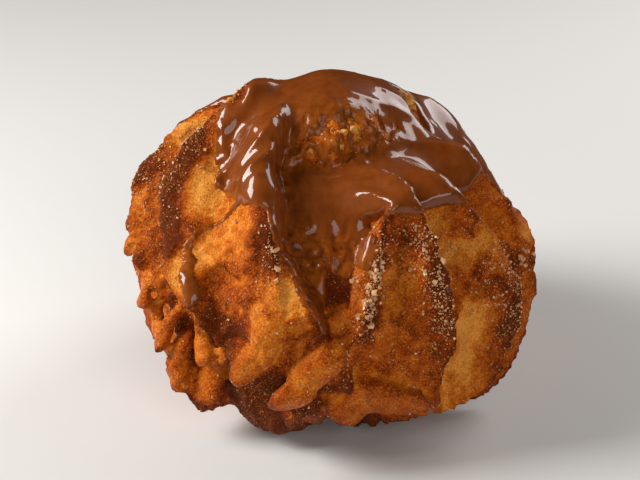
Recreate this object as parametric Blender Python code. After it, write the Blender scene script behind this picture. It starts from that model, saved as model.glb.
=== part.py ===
"""A profiterole: one baked choux bun with piped folds, and the chocolate glaze poured over its crown.

The bun's skin is measured from its heart. A point on it is named by its turn, in degrees round the
swirl from the front to the right, and its fall, in degrees down from the top of the swirl. The body
is a smooth dome, the folds are ridges laid on it, and the glaze is a shell that follows the folds.
Lengths are in millimetres until the meshes are made in metres. +Z is up and -Y is the front.
"""
import math
from collections import namedtuple

import bmesh
import bpy
import numpy as np

MM = 0.001

# The bun between its folds.
HEART = (-0.54, 0.0, 19.7)     # the point inside that the skin is measured from
HALF_WIDTH = 25.4
RISE = 22.0                    # heart to crown
DROP = 20.7                    # heart to where the skin would close under the table
SHOULDER = 1.5                 # a low power makes sloping shoulders
BELLY = 2.5                    # a high power makes a full underside
ROLL = 4.0                     # the widest line is this much higher on the left
SWIRL_TILT = 20.0              # the foot of the swirl comes this far round to the front

# Broad lumps in the body: the turn and fall of the middle, the spread in degrees, the height.
LUMPS = [
    (0, 22, 27, 1.6),          # the dollop on top
    (75, 28, 15, 2.0),         # the crown is fuller on the right
    (-63, 30, 16, -1.8),       # and flatter on the left
    (45, 60, 14, -0.8),
    (-3, 72, 13, -1.2),        # the dip under the dollop
    (-70, 62, 13, 0.6),
    (-80, 88, 16, -0.9),       # a flat on the left side
    (-68, 110, 16, -1.8),
    (-33, 146, 14, 3.6),       # the foot, spread out under the front folds
    (-5, 142, 14, -0.8),
    (10, 145, 11, -1.2),
    (35, 140, 14, -2.2),
    (90, 70, 16, -0.9),
    (75, 82, 12, 1.6),
]

# A fold's crest passes through one turn at each of these falls.
CREST_FALLS = (45, 75, 100, 130)

# height in mm; left and right are its half widths in degrees; power 1.6 is a sharp crest and 3 a flat
# one; head is the fall where it rises out of the crown; end is how high above the table it stops;
# lean is how far the crest hangs to the right, as a share of its height.
Fold = namedtuple("Fold", "crest height left right power head end lean")

FRONT_FOLDS = [
    Fold((-92, -104, -100, -88), 3.0, 13, 12, 2.0, 15, 5, 0.0),
    Fold((-62, -72, -61, -52), 3.4, 12, 10, 1.8, 15, 5, -0.2),
    Fold((-47, -49, -37, -26), 3.5, 9, 11, 1.8, 14, 8, -0.2),
    Fold((-26, -23, -17, -12), 3.5, 12, 10, 2.2, 30, 9, 0.1),
    Fold((24, 17, 11, -2), 3.3, 8, 7, 1.8, 56, 7, 0.0),
    Fold((17, 22, 28, 26), 4.0, 12, 9, 2.0, 48, 2, 0.3),
    Fold((38, 42, 52, 50), 4.0, 12, 9, 2.0, 40, 2, 0.3),
    Fold((60, 65, 73, 76), 3.7, 12, 10, 2.0, 34, 3, 0.3),
]
BACK_FOLDS = 8
BACK_FIRST_TURN = 100.0
BACK_SPACING = 21.0
FOLD_MERGE = 5                 # a high power keeps the valleys between folds sharp
TIP_LENGTH = 6.5               # a fold rounds off over this height
HEAD_LENGTH = 22.0             # a fold rises over this many degrees
SAG = 0.25                     # the crests hang this share of their height down the sides

# The glaze. A drip is the turn of its middle, its length past the edge and its half width.
GLAZE_GAP = 0.3
GLAZE_EDGE = 68.0
GLAZE_EDGE_FRONT = 7.0         # the edge lies this much lower at the front
GLAZE_THIN = 0.8
GLAZE_POOLED = 1.9             # between the folds
GLAZE_LIP = 0.35               # thickness of the very edge
GLAZE_RIM_ROWS = 2
GLAZE_CROWN = (10.0, 35.0)     # it deepens between these falls
DRIPS = [(-38, 16, 6), (-7, 24, 9), (12, 12, 6), (40, 7, 14), (92, 12, 9), (128, 7, 11),
         (158, 14, 10), (196, 6, 12), (226, 15, 10), (262, 8, 11)]

# The grid of the skin.
COLUMNS = 90
FRONT_CROWDING = 20.0          # the columns move this many degrees, to stand closer at the front
GLAZED_ROWS = 11
BARE_ROWS = 20
CALM_STEPS = 2                 # how often every point is drawn toward its neighbours
CALM_FRONT = 0.5               # and how far each time, at the front, where the columns are close,
CALM_BACK = 0.15               # and at the back

CRUST_COLOUR = (0.48, 0.20, 0.045, 1.0)
GLAZE_COLOUR = (0.20, 0.070, 0.022, 1.0)


# ---- directions from the heart ----

def swirl_axes():
    """Unit vectors to the right, to the back and to the top of the tilted swirl."""
    tilt = math.radians(SWIRL_TILT)
    right = np.array([1.0, 0.0, 0.0])
    back = np.array([0.0, math.cos(tilt), -math.sin(tilt)])
    top = np.array([0.0, math.sin(tilt), math.cos(tilt)])
    return right, back, top


def direction(turn, fall):
    right, back, top = swirl_axes()
    turn, fall = np.radians(turn), np.radians(fall)
    across = np.sin(fall) * np.sin(turn)
    forward = np.sin(fall) * np.cos(turn)
    return across[..., None] * right - forward[..., None] * back + np.cos(fall)[..., None] * top


def sideways(turn):
    """The level direction in which turn grows."""
    right, back, _ = swirl_axes()
    turn = np.radians(turn)
    return np.cos(turn)[..., None] * right + np.sin(turn)[..., None] * back


def downhill(turn, fall):
    """The direction along the skin in which fall grows."""
    right, back, top = swirl_axes()
    turn, fall = np.radians(turn), np.radians(fall)
    across = np.cos(fall) * np.sin(turn)
    forward = np.cos(fall) * np.cos(turn)
    return across[..., None] * right - forward[..., None] * back - np.sin(fall)[..., None] * top


# ---- the body ----

def body_radius(ray):
    """From the heart to the smooth body, along each ray."""
    level = ray[..., 2] + ray[..., 0] * math.tan(math.radians(ROLL))
    above = level > 0
    side = np.hypot(ray[..., 0], ray[..., 1]) / HALF_WIDTH
    height = np.abs(level) / np.where(above, RISE, DROP)
    power = np.where(above, SHOULDER, BELLY)
    radius = (side ** power + height ** power) ** (-1 / power)
    for turn, fall, spread, rise in LUMPS:
        middle = direction(np.array(turn), np.array(fall))
        away = np.degrees(np.arccos(np.clip(ray @ middle, -1, 1)))
        radius = radius + rise * np.exp(-(away / spread) ** 2)
    return radius


def body_level(turn, fall):
    """Height of the smooth body above the table."""
    ray = direction(turn, fall)
    return HEART[2] + ray[..., 2] * body_radius(ray)


def foot_fall(turn):
    """The fall at which the body meets the table, found by halving."""
    above = np.full(turn.shape, 95.0)
    below = np.full(turn.shape, 176.0)
    for _ in range(30):
        middle = (above + below) / 2
        clear = body_level(turn, middle) > 0
        above = np.where(clear, middle, above)
        below = np.where(clear, below, middle)
    return (above + below) / 2


# ---- the folds ----

def back_folds():
    """The folds round the back, each a little different from the next."""
    folds = []
    for number in range(BACK_FOLDS):
        turn = BACK_FIRST_TURN + number * BACK_SPACING
        sweep = -7.5 * math.sin(math.radians(turn))
        crest = (turn - 5, turn, turn + 3 * math.cos(number * 2.1), turn + sweep)
        folds.append(Fold(crest, 2.7 + 0.5 * math.sin(number * 1.7), 12, 10,
                          2.0 + 0.5 * math.sin(number * 2.9), 20,
                          4 + 1.5 * math.sin(number * 1.3), 0.3 * math.sin(number * 1.1)))
    return folds


FOLDS = FRONT_FOLDS + back_folds()


def ease(value):
    """0 to 1 with no corner at either end."""
    value = np.clip(value, 0, 1)
    return value * value * (3 - 2 * value)


def crest_turn(fold, fall):
    """The smooth line through the fold's four crest turns."""
    fall = np.clip(fall, 35, 145)
    total = 0.0
    for turn, here in zip(fold.crest, CREST_FALLS):
        share = turn
        for other in CREST_FALLS:
            if other != here:
                share = share * (fall - other) / (here - other)
        total = total + share
    return total


def fold_rise(fold, turn, fall, level):
    """How far one fold stands out of the body."""
    off = (turn - crest_turn(fold, fall) + 180) % 360 - 180
    share = np.abs(off) / np.where(off > 0, fold.right, fold.left)
    across = np.clip(1 - share ** fold.power, 0, 1)
    tip = np.clip((fold.end + TIP_LENGTH - level) / TIP_LENGTH, 0, 1)
    along = ease((fall - fold.head) / HEAD_LENGTH) * np.sqrt(1 - tip ** 2)
    return fold.height * across * along


def relief(turn, fall, level):
    """The folds together, and how far they lean to the right."""
    rises = np.stack([fold_rise(fold, turn, fall, level) for fold in FOLDS])
    powered = rises ** FOLD_MERGE
    total = powered.sum(axis=0)
    leans = np.array([fold.lean for fold in FOLDS]).reshape(-1, *[1] * turn.ndim)
    lean = (powered * leans).sum(axis=0) / (total + 1e-9)
    return total ** (1 / FOLD_MERGE), lean


def dollop_step(turn, fall):
    """At the front the dollop on top hangs as a lip over a shallow dip."""
    front = np.exp(-((turn - 6) / 30) ** 2)
    lip = 1.0 * np.exp(-((fall - 40) / 9) ** 2)
    dip = 2.0 * np.exp(-((fall - 56) / 8) ** 2)
    return front * (lip - dip)


def skin(turn, fall):
    """Points on the bun from its heart, and how far the folds stand out there."""
    ray = direction(turn, fall)
    radius = body_radius(ray)
    level = HEART[2] + ray[..., 2] * radius
    rise, lean = relief(turn, fall, level)
    out = radius + rise + dollop_step(turn, fall)
    lean_by = lean * rise * np.sin(np.radians(fall))
    hang = SAG * rise * ease((fall - 95) / 25)
    points = ray * out[..., None] + sideways(turn) * lean_by[..., None]
    return points + downhill(turn, fall) * hang[..., None], rise


# ---- the glaze ----

def glaze_edge(turn):
    """The fall at which the glaze stops, drips included."""
    edge = GLAZE_EDGE + GLAZE_EDGE_FRONT * np.cos(np.radians(turn))
    for middle, length, half_width in DRIPS:
        off = (turn - middle + 180) % 360 - 180
        edge = edge + length * np.exp(-(off / half_width) ** 2)
    return edge


def glaze_thickness(fall, rise, row):
    """Thin on the crown and the crests, deep between them, and rounded at the edge."""
    start, full = GLAZE_CROWN
    pooled = np.clip(1 - rise / 3, 0, 1) * ease((fall - start) / (full - start))
    depth = GLAZE_THIN + (GLAZE_POOLED - GLAZE_THIN) * pooled
    rim = np.clip((row - (GLAZED_ROWS - GLAZE_RIM_ROWS)) / GLAZE_RIM_ROWS, 0, 1)
    return GLAZE_LIP + (depth - GLAZE_LIP) * np.sqrt(1 - rim ** 2)


# ---- the grid and the meshes ----

def calmed(points):
    """The skin with the creases between the folds a little rounded, so that none breaks into teeth."""
    front = 0.5 + 0.5 * np.cos(np.linspace(-math.pi, math.pi, COLUMNS, endpoint=False))
    share = (CALM_BACK + (CALM_FRONT - CALM_BACK) * front)[None, :, None]
    for _ in range(CALM_STEPS):
        beside = (np.roll(points, 1, axis=1) + np.roll(points, -1, axis=1)) / 2
        points = points + share * (beside - points)
        along = (points[:-2] + points[2:]) / 2
        points[1:-1] = points[1:-1] + share * (along - points[1:-1])
    return points


def skin_grid():
    """Rows of points down the bun. Row GLAZED_ROWS lies on the glaze's edge and the last on the table."""
    even = np.linspace(-180, 180, COLUMNS, endpoint=False)
    turn = even - FRONT_CROWDING * np.sin(np.radians(even))
    edge, foot = glaze_edge(turn), foot_fall(turn)
    glazed = [edge * row / GLAZED_ROWS for row in range(1, GLAZED_ROWS + 1)]
    bare = [edge + (foot - edge) * row / BARE_ROWS for row in range(1, BARE_ROWS + 1)]
    fall = np.array(glazed + bare)
    points, rise = skin(np.broadcast_to(turn, fall.shape), fall)
    points = calmed(points)
    points[-1, :, 2] = -HEART[2]
    return points, fall, rise


def away_from_heart(points, distance):
    length = np.linalg.norm(points, axis=-1)
    return points * (1 + distance / length)[..., None]


def add_ring(bm, points):
    return [bm.verts.new(np.asarray(point + np.array(HEART)) * MM) for point in points]


def add_triangle(bm, corners, outward):
    bm.faces.new(corners if outward else corners[::-1])


def join_rings(bm, upper, lower, outward=True):
    """A band of triangles between two rings, facing away from the heart or, on an inside, to it."""
    for here in range(len(upper)):
        there = (here + 1) % len(upper)
        add_triangle(bm, (upper[here], lower[here], lower[there]), outward)
        add_triangle(bm, (upper[here], lower[there], upper[there]), outward)


def close_ring(bm, ring, point, faces_up):
    """A fan of triangles from a ring to one point."""
    middle = bm.verts.new(np.asarray(point + np.array(HEART)) * MM)
    for here in range(len(ring)):
        there = (here + 1) % len(ring)
        add_triangle(bm, (middle, ring[here], ring[there]), faces_up)


def finish_piece(bm, name, material):
    mesh = bpy.data.meshes.new(name)
    bm.to_mesh(mesh)
    bm.free()
    mesh.shade_smooth()
    mesh.materials.append(material)
    piece = bpy.data.objects.new(name, mesh)
    bpy.context.scene.collection.objects.link(piece)
    return piece


def make_material(name, colour, roughness):
    material = bpy.data.materials.new(name)
    material.use_nodes = True
    shader = material.node_tree.nodes["Principled BSDF"]
    shader.inputs["Base Color"].default_value = colour
    shader.inputs["Roughness"].default_value = roughness
    shader.inputs["Metallic"].default_value = 0.0
    return material


def make_bun(points):
    """The choux bun: folds, crown and a flat base on the table."""
    bm = bmesh.new()
    rings = [add_ring(bm, row) for row in points]
    close_ring(bm, rings[0], points[0].mean(axis=0), faces_up=True)
    for upper, lower in zip(rings, rings[1:]):
        join_rings(bm, upper, lower)
    close_ring(bm, rings[-1], points[-1].mean(axis=0), faces_up=False)
    return finish_piece(bm, "choux_bun", make_material("choux_crust", CRUST_COLOUR, 0.6))


def make_glaze(points, fall, rise):
    """The glaze: a shell whose inside follows the bun, a gap away, and whose edge is rounded."""
    rows = np.arange(1, GLAZED_ROWS + 1)[:, None]
    depth = glaze_thickness(fall[:GLAZED_ROWS], rise[:GLAZED_ROWS], rows)
    inner = away_from_heart(points[:GLAZED_ROWS], GLAZE_GAP)
    outer = away_from_heart(inner, depth)
    crown = points[0].mean(axis=0)
    bm = bmesh.new()
    under = [add_ring(bm, row) for row in inner]
    over = [add_ring(bm, row) for row in outer]
    close_ring(bm, over[0], away_from_heart(crown, GLAZE_GAP + GLAZE_THIN), faces_up=True)
    for upper, lower in zip(over, over[1:]):
        join_rings(bm, upper, lower)
    join_rings(bm, over[-1], under[-1])
    for upper, lower in zip(under, under[1:]):
        join_rings(bm, upper, lower, outward=False)
    close_ring(bm, under[0], away_from_heart(crown, GLAZE_GAP), faces_up=False)
    return finish_piece(bm, "chocolate_glaze", make_material("glaze", GLAZE_COLOUR, 0.2))


for old in list(bpy.data.objects):
    bpy.data.objects.remove(old, do_unlink=True)

grid, grid_fall, grid_rise = skin_grid()
make_bun(grid)
make_glaze(grid, grid_fall, grid_rise)
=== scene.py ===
"""A profiterole: a baked choux bun with piped folds under a poured chocolate glaze, with coarse sugar."""
import math
from collections import namedtuple

import bpy
import numpy as np
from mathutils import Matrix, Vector, kdtree, noise


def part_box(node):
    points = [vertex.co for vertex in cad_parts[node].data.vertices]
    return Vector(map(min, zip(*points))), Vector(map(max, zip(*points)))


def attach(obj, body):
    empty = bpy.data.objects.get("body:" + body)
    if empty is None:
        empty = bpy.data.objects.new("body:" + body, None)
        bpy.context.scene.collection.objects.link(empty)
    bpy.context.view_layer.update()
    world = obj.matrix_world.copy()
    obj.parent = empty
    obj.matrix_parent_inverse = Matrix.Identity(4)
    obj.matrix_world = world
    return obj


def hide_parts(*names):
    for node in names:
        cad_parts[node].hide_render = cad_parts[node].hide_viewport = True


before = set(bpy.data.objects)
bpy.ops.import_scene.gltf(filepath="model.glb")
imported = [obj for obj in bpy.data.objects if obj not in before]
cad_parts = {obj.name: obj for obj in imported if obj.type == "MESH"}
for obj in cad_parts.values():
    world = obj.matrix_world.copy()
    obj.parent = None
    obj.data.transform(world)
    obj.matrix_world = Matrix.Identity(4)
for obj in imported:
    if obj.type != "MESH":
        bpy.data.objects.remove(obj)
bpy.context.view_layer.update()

# ---------------------------------------------------------------------------------------------------
# The bun's form. Choux paste is piped in one go through a wide star nozzle, so it bakes into a dome
# with a swirl of folds that part where the paste stretches. All lengths are in millimetres, and a
# place on the skin is a turn round the swirl from the front and a fall down from its top, in degrees.
# ---------------------------------------------------------------------------------------------------
MM = 0.001
bun_low, bun_high = (np.array(corner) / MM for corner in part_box("choux_bun"))

# The dome grows from its heart. Its curve has one power above the heart and another below it, it
# leans by the roll, and the swirl's axis tips forward by the tilt.
HEART_HEIGHT, HEART_SHIFT = 19.7, (-0.05, 0.1)
HEART = np.array([*((bun_low + bun_high)[:2] / 2 + HEART_SHIFT), HEART_HEIGHT])
FOLD_ROOM, CROWN_ROOM = 3.16, 1.0
HALF_WIDTH = (bun_high[0] - bun_low[0]) / 2 - FOLD_ROOM
RISE = bun_high[2] - HEART[2] - CROWN_ROOM
DROP = 20.7
SHOULDER_POWER, BELLY_POWER = 1.5, 2.5
ROLL = math.radians(4.0)
TILT = math.radians(20.0)
RIGHT = np.array([1.0, 0.0, 0.0])
BACK = np.array([0.0, math.cos(TILT), -math.sin(TILT)])
TOP = np.array([0.0, math.sin(TILT), math.cos(TILT)])

# Broad lumps and dents in the dome: the spread is in degrees, the rise in mm.
Lump = namedtuple("Lump", "turn fall spread rise")
LUMPS = [
    Lump(0, 22, 27, 1.6), Lump(0, 8, 16, 0.1), Lump(75, 28, 15, 2.0), Lump(-63, 30, 16, -1.8),
    Lump(45, 60, 14, -0.8), Lump(-3, 72, 13, -1.2), Lump(-70, 62, 13, 0.6), Lump(-80, 88, 16, -0.9),
    Lump(-68, 110, 16, -1.8), Lump(-33, 146, 14, 3.6), Lump(-12, 148, 11, 0.7), Lump(-5, 142, 14, 0.1),
    Lump(18, 151, 9, -3.6), Lump(35, 140, 14, -2.2), Lump(90, 70, 16, -0.9), Lump(75, 82, 12, 1.6),
]

# The folds. A crest goes through one turn at each of these falls and stands out by the height. Left
# and right of it are the half widths in degrees, and the power rounds it, from 1 for a sharp crest.
# A fold starts at the fall of its head, its tip rounds off at the height of its end above the
# table, and a lean above 0 tips it to the right.
CREST_FALLS = (45, 75, 100, 130)
Fold = namedtuple("Fold", "crest height left right power head end lean")
FOLDS = [
    Fold((-92, -104, -100, -88), 3.4, 13, 9, 1.5, 15, 4, 0.0),
    Fold((-62, -72, -61, -52), 3.8, 11, 7, 1.1, 15, 5, -0.2),
    Fold((-47, -49, -35, -12), 4.8, 4.0, 10, 1.5, 14, 8, -0.4),
    Fold((-26, -23, -17, -10), 3.9, 13, 4.5, 2.6, 30, 9, 0.5),
    Fold((-30, -26, -9, 4), 3.7, 22, 4.5, 3.0, 74, 10, 0.4),
    Fold((26, 17, 11, -6), 4.4, 3.0, 3.2, 1.0, 56, 7, 0.0),
    Fold((15, 21, 28, 27), 4.8, 11, 4, 1.2, 48, 2, 0.6),
    Fold((30, 38, 44, 30), 1.4, 3, 3, 1.6, 60, 4, 0.2),
    Fold((34, 39, 55, 48), 5.2, 12, 4, 1.0, 48, 2, 0.6),
    Fold((50, 58, 68, 68), 1.2, 3, 3, 1.6, 60, 4, 0.2),
    Fold((56, 63, 72, 76), 4.8, 9, 7, 1.0, 38, 3, 0.5),
]
# The folds round the back follow on evenly, each a little different from the last.
BACK_FOLDS, BACK_FIRST, BACK_SPACING = 8, 100.0, 21.0
BACK_LEFT, BACK_RIGHT, BACK_HEAD, BACK_SWEEP = 12, 8, 20, 7.5
for number in range(BACK_FOLDS):
    turn = BACK_FIRST + number * BACK_SPACING
    swept = turn - BACK_SWEEP * math.sin(math.radians(turn))
    FOLDS.append(Fold(
        crest=(turn - 5, turn, turn + 3 * math.cos(number * 2.1), swept),
        height=3.4 + 0.6 * math.sin(number * 1.7), left=BACK_LEFT, right=BACK_RIGHT,
        power=1.8 + 0.4 * math.sin(number * 2.9), head=BACK_HEAD,
        end=4 + 1.5 * math.sin(number * 1.3), lean=0.7 * math.sin(number * 1.1)))
FOLD_MERGE = 5
TIP_LENGTH, HEAD_LENGTH = 5.0, 22.0
CREST_FALL_RANGE = (35, 145)


def ease(value):
    value = np.clip(value, 0, 1)
    return value * value * (3 - 2 * value)


def bell(value):
    return np.exp(-value ** 2)


def through(values, knots, here):
    """The smooth line that has these values at these knots."""
    total = 0.0
    for value, knot in zip(values, knots):
        for other in knots:
            if other != knot:
                value = value * (here - other) / (knot - other)
        total = total + value
    return total


def round_turn(angle):
    return (angle + 180) % 360 - 180


def direction(turn, fall):
    """The ray from the heart through a place on the skin."""
    turn, fall = np.radians(turn), np.radians(fall)
    across, forward = np.sin(fall) * np.sin(turn), np.sin(fall) * np.cos(turn)
    return across[..., None] * RIGHT - forward[..., None] * BACK + np.cos(fall)[..., None] * TOP


def sideways(turn):
    """The way to the right along the skin."""
    turn = np.radians(turn)
    return np.cos(turn)[..., None] * RIGHT + np.sin(turn)[..., None] * BACK


def downhill(turn, fall):
    """The way down the swirl along the skin."""
    turn, fall = np.radians(turn), np.radians(fall)
    across, forward = np.cos(fall) * np.sin(turn), np.cos(fall) * np.cos(turn)
    return across[..., None] * RIGHT - forward[..., None] * BACK - np.sin(fall)[..., None] * TOP


def grain(points, size, seed, octaves=3):
    """Smooth noise of about -1 to 1, with lumps of this size in mm."""
    shift = Vector((7.3 * seed, 3.1 * seed, 5.7 * seed))
    places = points.reshape(-1, 3)
    values = [noise.fractal(Vector(place) / size + shift, 1.0, 2.0, octaves) for place in places]
    return np.array(values).reshape(points.shape[:-1])


def body_radius(ray):
    """How far the dome reaches along a ray, with its lumps and without its folds."""
    level = ray[..., 2] + ray[..., 0] * math.tan(ROLL)
    side = np.hypot(ray[..., 0], ray[..., 1]) / HALF_WIDTH
    height = np.abs(level) / np.where(level > 0, RISE, DROP)
    power = np.where(level > 0, SHOULDER_POWER, BELLY_POWER)
    radius = (side ** power + height ** power) ** (-1 / power)
    for lump in LUMPS:
        middle = direction(np.array(lump.turn), np.array(lump.fall))
        away = np.degrees(np.arccos(np.clip(ray @ middle, -1, 1)))
        radius = radius + lump.rise * bell(away / lump.spread)
    return radius


def relief(turn, fall, level):
    """How far the folds stand out of the body, and how far their crests lean to the right."""
    rises = []
    for fold in FOLDS:
        off = round_turn(turn - through(fold.crest, CREST_FALLS, np.clip(fall, *CREST_FALL_RANGE)))
        share = np.abs(off) / np.where(off > 0, fold.right, fold.left)
        tip = np.clip((fold.end + TIP_LENGTH - level) / TIP_LENGTH, 0, 1)
        along = ease((fall - fold.head) / HEAD_LENGTH) * np.sqrt(1 - tip ** 2)
        rises.append(fold.height * np.clip(1 - share ** fold.power, 0, 1) * along)
    powered = np.stack(rises) ** FOLD_MERGE
    total = powered.sum(axis=0)
    leans = np.array([fold.lean for fold in FOLDS]).reshape(-1, *[1] * turn.ndim)
    return total ** (1 / FOLD_MERGE), (powered * leans).sum(axis=0) / (total + 1e-9)


DOLLOP_TURN, DOLLOP_WIDE = 6, 30
LIP_FALL, LIP_LONG, LIP_RISE = 40, 9, 1.0
DIP_FALL, DIP_LONG, DIP_DEPTH = 56, 8, 2.0


def dollop_step(turn, fall):
    """At the front the dollop on top hangs as a lip over a shallow dip."""
    lip = LIP_RISE * bell((fall - LIP_FALL) / LIP_LONG)
    dip = DIP_DEPTH * bell((fall - DIP_FALL) / DIP_LONG)
    return bell((turn - DOLLOP_TURN) / DOLLOP_WIDE) * (lip - dip)


SAG, SAG_FALL, SAG_LONG = 0.4, 95, 25
FLAKE_HANG = 0.6


def skin(turn, fall, stray_turn=0.0, stray_fall=0.0, flakes=0.0):
    """Points on the bun from its heart. The stray bends the folds off their even lines."""
    ray = direction(turn, fall)
    radius = body_radius(ray)
    level = HEART[2] + ray[..., 2] * radius
    rise, lean = relief(turn + stray_turn, fall + stray_fall, level)
    out = radius + rise + flakes + dollop_step(turn, fall)
    lean_by = lean * rise * np.sin(np.radians(fall))
    hang = SAG * rise * ease((fall - SAG_FALL) / SAG_LONG) + FLAKE_HANG * flakes
    points = ray * out[..., None] + sideways(turn) * lean_by[..., None]
    return points + downhill(turn, fall) * hang[..., None]


def patches(listed, turn, fall):
    """Soft spots on the skin. Each is listed as its turn, its fall, how wide it is across the folds
    and how long down them, all in degrees, and how much it adds at its middle."""
    total = np.zeros(turn.shape)
    for spot_turn, spot_fall, wide, long, amount in listed:
        across = round_turn(turn - spot_turn) * np.sin(np.radians(fall))
        total += amount * bell(across / wide) * bell((fall - spot_fall) / long)
    return total


# Where the crust tore into plates as it rose, and where the crown crumpled.
TORN = [
    (-32, 92, 10, 12, 0.6), (-12, 106, 12, 7, 0.5), (-52, 110, 16, 16, 1.0), (-78, 96, 14, 18, 0.7),
    (-40, 130, 20, 10, 0.8), (44, 116, 7, 14, 0.4), (150, 95, 25, 20, 0.7), (210, 100, 25, 16, 0.7),
]
ROUGH_CROWN = [(-8, 51, 9, 4, 1.0), (8, 47, 10, 6, 1.0), (28, 42, 10, 5, 1.0)]

# Hollows left under the lips where the paste pulled away, in mm.
HOLLOWS = [
    (-36, 117, 5, 8, -2.8), (-42, 126, 6, 6, -1.6), (-43, 103, 3, 9, -2.6), (-22, 129, 9, 5, -2.4),
    (-4, 127, 8, 5, -2.2), (-57, 109, 4, 8, -2.0), (-49, 118, 4, 5, -2.0), (-29, 102, 2, 8, -1.2),
    (-62, 94, 3, 8, -1.6), (-35, 90, 2, 6, -0.8), (14, 141, 7, 3, -0.8), (3, 101, 3, 8, -0.9),
    (-26, 111, 2.5, 8, -2.2), (-31, 97, 2, 6, -0.9),
]

# Torn edges. Along each line the crust stands proud on one side, by the height, and falls away over
# the slope; on the other side it breaks off over the cliff. All three are in mm. Going down the
# swirl, the proud side is the right one for a side of 1 and the left one for -1.
Edge = namedtuple("Edge", "places height slope cliff side")
TORN_EDGES = [
    Edge([(-37, 84), (-34, 89), (-31, 92), (-28, 96)], 1.3, 3.0, 0.4, 1),
    Edge([(-30, 96), (-27, 101), (-26, 105), (-27, 111)], 1.8, 3.5, 0.4, 1),
    Edge([(-27, 108), (-29, 113), (-31, 119), (-34, 125)], 1.2, 3.0, 0.4, 1),
    Edge([(-21, 98), (-16, 101), (-10, 102), (-5, 103)], 1.1, 3.0, 0.4, 1),
    Edge([(-25, 107), (-20, 106), (-14, 105), (-8, 107)], 1.0, 2.5, 0.4, -1),
    Edge([(-66, 88), (-55, 96), (-49, 105), (-44, 113)], 1.0, 2.5, 0.5, -1),
    Edge([(-41, 84), (-41, 90), (-40, 96), (-38, 102)], 0.8, 1.6, 0.5, -1),
    Edge([(59, 74), (62, 79), (64, 84), (67, 90)], 1.0, 1.5, 0.4, 1),
    Edge([(16, 84), (17, 94), (17, 104), (16, 114)], 0.7, 1.4, 0.4, -1),
    Edge([(36, 74), (42, 83), (48, 93), (53, 102)], 0.9, 2.0, 0.5, 1),
    Edge([(22, 80), (24, 93), (30, 106), (34, 122)], 0.8, 1.5, 0.5, -1),
    Edge([(-72, 62), (-73, 72), (-72, 80), (-68, 90)], 1.0, 2.0, 0.5, -1),
    Edge([(-66, 45), (-70, 52), (-74, 60), (-76, 70)], 0.8, 1.6, 0.5, 1),
]
EDGE_STEPS, EDGE_FADE = 40, 0.18
KNOTS = (0, 1 / 3, 2 / 3, 1)
DEGREE = 0.44


def along_path(places, along):
    """The turn and the fall at each share of the way along a path through four places."""
    return tuple(through(values, KNOTS, along) for values in zip(*places))


def torn_edges(turn, fall):
    """How far the torn edges stand out. A degree on the skin is about DEGREE mm."""
    total = np.zeros(turn.shape)
    along = np.linspace(0, 1, EDGE_STEPS)
    for edge in TORN_EDGES:
        path_turn, path_fall = along_path(edge.places, along)
        reach = edge.slope / DEGREE + 1
        near = (fall > path_fall.min() - reach) & (fall < path_fall.max() + reach)
        near &= np.abs(round_turn(turn - path_turn.mean())) < np.ptp(path_turn) / 2 + reach + 4
        flat = np.sin(np.radians(fall[near]))
        across = round_turn(turn[near][:, None] - path_turn) * flat[:, None] * DEGREE
        down = (fall[near][:, None] - path_fall) * DEGREE
        best = np.argmin(across ** 2 + down ** 2, axis=1)
        rows = np.arange(len(best))
        across, down = across[rows, best], down[rows, best]
        step_across, step_down = np.gradient(path_turn)[best], np.gradient(path_fall)[best]
        proud_side = edge.side * (step_down * across - step_across * down)
        away = np.sign(proud_side) * np.hypot(across, down)
        slope, cliff = np.clip(1 - away / edge.slope, 0, 1) ** 1.4, 1 - ease(-away / edge.cliff)
        shape = np.where(away > 0, slope, cliff)
        ends = ease(along[best] / EDGE_FADE) * ease((1 - along[best]) / EDGE_FADE)
        total[near] += edge.height * shape * ends
    return total


# The skin as a grid of rows down the swirl, closed at both ends.
COLUMNS, ROWS = 720, 340
FIRST_FALL, LAST_FALL = 0.6, 177
grid_turn, grid_fall = np.meshgrid(np.linspace(-180, 180, COLUMNS, endpoint=False),
                                   np.linspace(FIRST_FALL, LAST_FALL, ROWS))
on_ball = direction(grid_turn, grid_fall) * HALF_WIDTH

# The folds stray from their even lines by a few degrees, and more round the back.
STRAY_SIZE, STRAY_FRONT, STRAY_BACK, STRAY_FINE = 11.0, 1.2, 3.8, 1.6
loose = STRAY_FRONT + STRAY_BACK * ease((np.abs(grid_turn) - 80) / 30)
wander = grain(on_ball, STRAY_SIZE, seed=1) * loose + grain(on_ball, 3.2, seed=2, octaves=2) * STRAY_FINE
drift = grain(on_ball, STRAY_SIZE, seed=3) * loose

# The torn crust lies in two layers of plates with steep sides, and its edges are frayed.
PLATE_DEPTH, PLATE_SIDE, CRUMPLE, FRAYED = 0.8, 0.06, 1.2, 1.2
torn_here = np.clip(patches(TORN, grid_turn, grid_fall), 0, 1)
ragged = grain(on_ball * (1, 1, 0.7), 4.2, seed=4, octaves=3)
plates = torn_here * (PLATE_DEPTH * ease((ragged + 0.02) / PLATE_SIDE)
                      + PLATE_DEPTH * ease((ragged - 0.26) / PLATE_SIDE))
crumpled = np.clip(patches(ROUGH_CROWN, grid_turn, grid_fall), 0, 1)
crumpled = crumpled * grain(on_ball, 2.6, seed=10, octaves=3)
fray = FRAYED * grain(on_ball, 1.8, seed=11, octaves=2)
flakes = plates + CRUMPLE * crumpled + torn_edges(grid_turn + fray, grid_fall + np.roll(fray, 40))
flakes += patches(HOLLOWS, grid_turn, grid_fall)
grid_points = skin(grid_turn, grid_fall, wander, drift, flakes)
grid_points[..., 2] = np.maximum(grid_points[..., 2], -HEART[2])


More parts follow.
